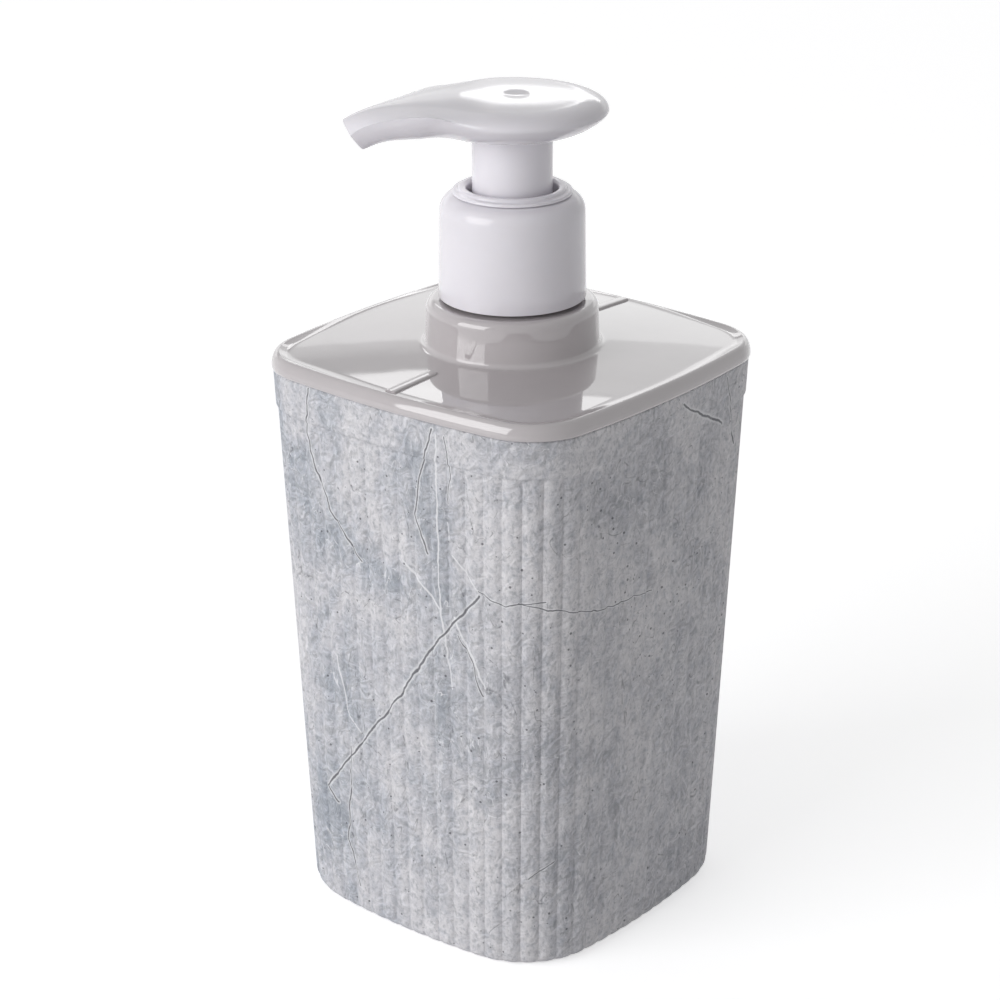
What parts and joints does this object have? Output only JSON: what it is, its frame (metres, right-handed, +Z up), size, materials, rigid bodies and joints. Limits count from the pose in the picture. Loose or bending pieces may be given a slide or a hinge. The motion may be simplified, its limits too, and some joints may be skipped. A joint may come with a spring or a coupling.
{
  "type": "soap pump dispenser",
  "caption": "Tapered square soap dispenser with a concrete-look cup, a glossy lid with a round boss, and a screw-on lotion pump with a dished thumb head and a drooping spout.",
  "frame": {"origin": "centre of the resting face, on the pump's axis", "axes": "+Z up along the pump's axis; +X and +Y through the middles of two side faces; the spout points between -X and -Y"},
  "size_m": [0.0806, 0.0806, 0.1736],
  "materials": {
    "cup": "matte moulded polypropylene with a printed concrete-look film",
    "lid": "high-gloss moulded ABS, warm grey",
    "pump_white": "glossy moulded polypropylene, white",
    "housing": "natural polypropylene, satin",
    "piston": "soft natural polyethylene",
    "gasket": "foamed polyethylene washer",
    "dip_tube": "translucent extruded polyethylene",
    "steel": "bright stainless steel"
  },
  "bodies": {
    "cup": {"cup": "cup"},
    "lid": {"lid": "lid"},
    "pump": {"pump_housing": "housing", "chaplet": "pump_white", "neck_gasket": "gasket", "dip_tube": "dip_tube", "return_spring": "steel"},
    "collar": {"closure_collar": "pump_white"},
    "plunger": {"piston_rod": "pump_white", "piston_core": "housing"},
    "piston": {"piston_seal": "piston"},
    "head": {"head_base": "pump_white", "head_top": "pump_white"},
    "inlet_valve": {"inlet_ball": "steel"},
    "outlet_valve": {"outlet_ball": "steel"}
  },
  "joints": [
    {"name": "lid_lift", "type": "slide", "parent": "cup", "child": "lid", "axis": [0, 0, 1], "range_m": [0, 0.125]},
    {"name": "pump_rise", "type": "slide", "parent": "lid", "child": "pump", "axis": [0, 0, 1], "range_m": [0, 0.0053]},
    {"name": "collar_turn", "type": "hinge", "parent": "pump", "child": "collar", "pos_m": [0, 0, 0.142], "axis": [0, 0, 1], "range_deg": [0, 450]},
    {"name": "press", "type": "slide", "parent": "pump", "child": "plunger", "axis": [0, 0, 1], "range_m": [-0.0101, 0], "stiffness_N_per_m": 600, "springref_m": 0.012, "deforming": ["return_spring"]},
    {"name": "head_swivel", "type": "hinge", "parent": "plunger", "child": "head", "pos_m": [0, 0, 0.165], "axis": [0, 0, 1], "continuous": true},
    {"name": "piston_slip", "type": "slide", "parent": "plunger", "child": "piston", "axis": [0, 0, 1], "range_m": [0, 0.0015]},
    {"name": "inlet_ball_lift", "type": "slide", "parent": "pump", "child": "inlet_valve", "axis": [0, 0, 1], "range_m": [0, 0.0012]},
    {"name": "outlet_ball_lift", "type": "slide", "parent": "plunger", "child": "outlet_valve", "axis": [0, 0, 1], "range_m": [0, 0.0015]}
  ],
  "couplings": [
    {"joint": "pump_rise", "follows": "collar_turn", "m_per_rad": 0.00067323}
  ]
}
